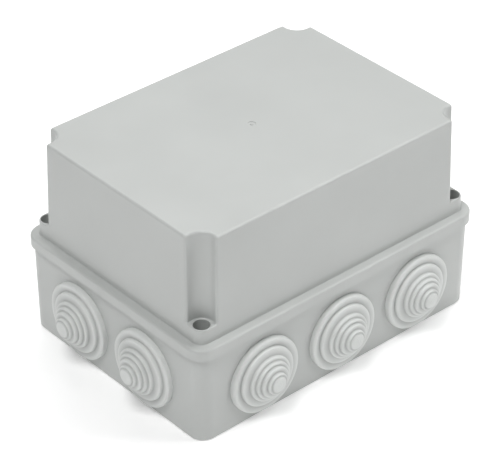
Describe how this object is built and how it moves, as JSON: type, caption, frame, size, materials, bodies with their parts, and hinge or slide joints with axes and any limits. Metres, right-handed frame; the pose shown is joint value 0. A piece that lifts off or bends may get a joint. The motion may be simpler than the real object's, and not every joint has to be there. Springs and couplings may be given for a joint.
{
  "type": "electrical junction box",
  "caption": "Surface-mounted electrical junction box with a deep screw-down lid, stepped membrane cable glands in all four walls and screw wells in the lid's corners.",
  "frame": {"origin": "middle of the base's back face, which lies on the wall or bench", "axes": "+Z from the back face towards the lid's top, +X along the long side, +Y along the short side"},
  "size_m": [0.212, 0.162, 0.116],
  "materials": {
    "box_plastic": "fine moulded satin",
    "gland_rubber": "smooth soft satin",
    "seal_foam": "matte closed-cell foam",
    "cap_plastic": "satin",
    "screw_steel": "zinc plated",
    "washer_rubber": "matte"
  },
  "bodies": {
    "base_body": {"base": "box_plastic", "gland_front_1": "gland_rubber", "gland_front_2": "gland_rubber", "gland_front_3": "gland_rubber", "gland_rear_1": "gland_rubber", "gland_rear_2": "gland_rubber", "gland_rear_3": "gland_rubber", "gland_left_1": "gland_rubber", "gland_left_2": "gland_rubber", "gland_right_1": "gland_rubber", "gland_right_2": "gland_rubber", "fixing_cap_front_left": "cap_plastic", "fixing_cap_front_right": "cap_plastic", "fixing_cap_rear_left": "cap_plastic", "fixing_cap_rear_right": "cap_plastic"},
    "lid_body": {"lid": "box_plastic", "lid_gasket": "seal_foam"},
    "washer_front_left": {"screw_washer_front_left": "washer_rubber"},
    "screw_front_left": {"lid_screw_front_left": "screw_steel"},
    "washer_front_right": {"screw_washer_front_right": "washer_rubber"},
    "screw_front_right": {"lid_screw_front_right": "screw_steel"},
    "washer_rear_left": {"screw_washer_rear_left": "washer_rubber"},
    "screw_rear_left": {"lid_screw_rear_left": "screw_steel"},
    "washer_rear_right": {"screw_washer_rear_right": "washer_rubber"},
    "screw_rear_right": {"lid_screw_rear_right": "screw_steel"}
  },
  "joints": [
    {"name": "lid_lift", "type": "slide", "parent": "base_body", "child": "lid_body", "axis": [0, 0, 1], "range_m": [0, 0.08]},
    {"name": "screw_rise_front_left", "type": "slide", "parent": "lid_body", "child": "washer_front_left", "axis": [0, 0, 1], "range_m": [0, 0.0075]},
    {"name": "screw_turn_front_left", "type": "hinge", "parent": "washer_front_left", "child": "screw_front_left", "pos_m": [-0.0849, -0.0599, 0.055], "axis": [0, 0, 1], "range_deg": [0, 1800]},
    {"name": "screw_rise_front_right", "type": "slide", "parent": "lid_body", "child": "washer_front_right", "axis": [0, 0, 1], "range_m": [0, 0.0075]},
    {"name": "screw_turn_front_right", "type": "hinge", "parent": "washer_front_right", "child": "screw_front_right", "pos_m": [0.0849, -0.0599, 0.055], "axis": [0, 0, 1], "range_deg": [0, 1800]},
    {"name": "screw_rise_rear_left", "type": "slide", "parent": "lid_body", "child": "washer_rear_left", "axis": [0, 0, 1], "range_m": [0, 0.0075]},
    {"name": "screw_turn_rear_left", "type": "hinge", "parent": "washer_rear_left", "child": "screw_rear_left", "pos_m": [-0.0849, 0.0599, 0.055], "axis": [0, 0, 1], "range_deg": [0, 1800]},
    {"name": "screw_rise_rear_right", "type": "slide", "parent": "lid_body", "child": "washer_rear_right", "axis": [0, 0, 1], "range_m": [0, 0.0075]},
    {"name": "screw_turn_rear_right", "type": "hinge", "parent": "washer_rear_right", "child": "screw_rear_right", "pos_m": [0.0849, 0.0599, 0.055], "axis": [0, 0, 1], "range_deg": [0, 1800]}
  ],
  "couplings": [
    {"joint": "screw_turn_front_left", "follows": "screw_rise_front_left", "rad_per_m": 4188.8},
    {"joint": "screw_turn_front_right", "follows": "screw_rise_front_right", "rad_per_m": 4188.8},
    {"joint": "screw_turn_rear_left", "follows": "screw_rise_rear_left", "rad_per_m": 4188.8},
    {"joint": "screw_turn_rear_right", "follows": "screw_rise_rear_right", "rad_per_m": 4188.8}
  ]
}
